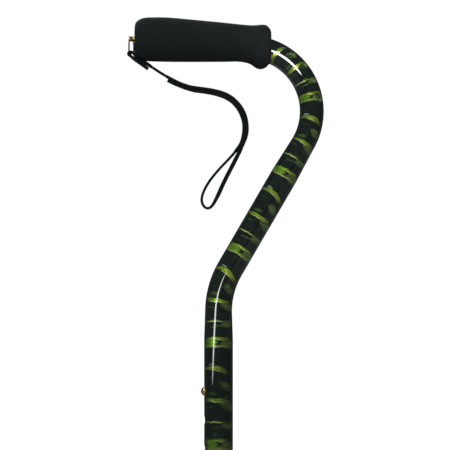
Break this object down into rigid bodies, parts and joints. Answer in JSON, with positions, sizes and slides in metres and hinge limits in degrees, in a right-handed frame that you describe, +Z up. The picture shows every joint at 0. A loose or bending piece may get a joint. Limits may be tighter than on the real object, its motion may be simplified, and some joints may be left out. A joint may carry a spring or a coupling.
{
  "type": "quad walking cane",
  "caption": "Offset-handle walking cane with foam grip, wrist strap, telescoping shaft with snap button and locking collar, and a small four-foot base.",
  "frame": {"origin": "centre of the four-foot base's footprint, on the floor", "axes": "+Z up along the shaft, +X from the grip's free end towards the gooseneck bend, +Y away from the user, the side the base reaches out on"},
  "size_m": [0.204, 0.153, 0.7368],
  "materials": {
    "tube_finish": "gloss",
    "foam_black": "matte",
    "plastic_black": "satin",
    "brass": "polished",
    "ring_nickel": "polished",
    "webbing_black": "matte",
    "stem_anodised": "satin",
    "spring_steel": "satin",
    "base_steel_black": "satin",
    "zinc_steel": "satin",
    "tip_rubber": "matte"
  },
  "bodies": {
    "base": {"stem_tube": "stem_anodised", "stem_top_guide": "plastic_black", "stem_end_plug": "plastic_black", "snap_spring": "spring_steel", "base_socket": "base_steel_black", "hub_plate_upper": "base_steel_black", "hub_plate_lower": "base_steel_black", "leg_tube_front": "base_steel_black", "leg_tube_rear": "base_steel_black", "socket_bolt": "zinc_steel", "socket_nut": "zinc_steel", "socket_washers": "zinc_steel", "tip_washers": "zinc_steel", "rubber_tip_front_near": "tip_rubber", "rubber_tip_front_far": "tip_rubber", "rubber_tip_rear_near": "tip_rubber", "rubber_tip_rear_far": "tip_rubber"},
    "upper": {"upper_tube": "tube_finish", "foam_grip": "foam_black", "handle_end_plug": "plastic_black", "strap_post": "brass", "collet_sleeve": "plastic_black"},
    "collar": {"lock_collar": "plastic_black"},
    "button": {"snap_button": "brass"},
    "ring": {"strap_ring": "ring_nickel"},
    "strap": {"wrist_strap": "webbing_black"}
  },
  "joints": [
    {"name": "height_adjust", "type": "slide", "parent": "base", "child": "upper", "axis": [0, 0, 1], "range_m": [0, 0.1524]},
    {"name": "collar_turn", "type": "hinge", "parent": "upper", "child": "collar", "pos_m": [0, -0.016, 0.228], "axis": [0, 0, 1], "range_deg": [-180, 0]},
    {"name": "button_press", "type": "slide", "parent": "base", "child": "button", "axis": [1, 0, 0], "range_m": [0, 0.0046], "stiffness_N_per_m": 1000, "springref_m": -0.004, "deforming": ["snap_spring"]},
    {"name": "ring_swing", "type": "hinge", "parent": "upper", "child": "ring", "pos_m": [-0.0767, -0.016, 0.7182], "axis": [0, 1, 0], "range_deg": [0, 85]},
    {"name": "strap_swing", "type": "hinge", "parent": "ring", "child": "strap", "pos_m": [-0.0767, -0.016, 0.7055], "axis": [0.342, 0.9397, 0], "range_deg": [0, 60]}
  ]
}
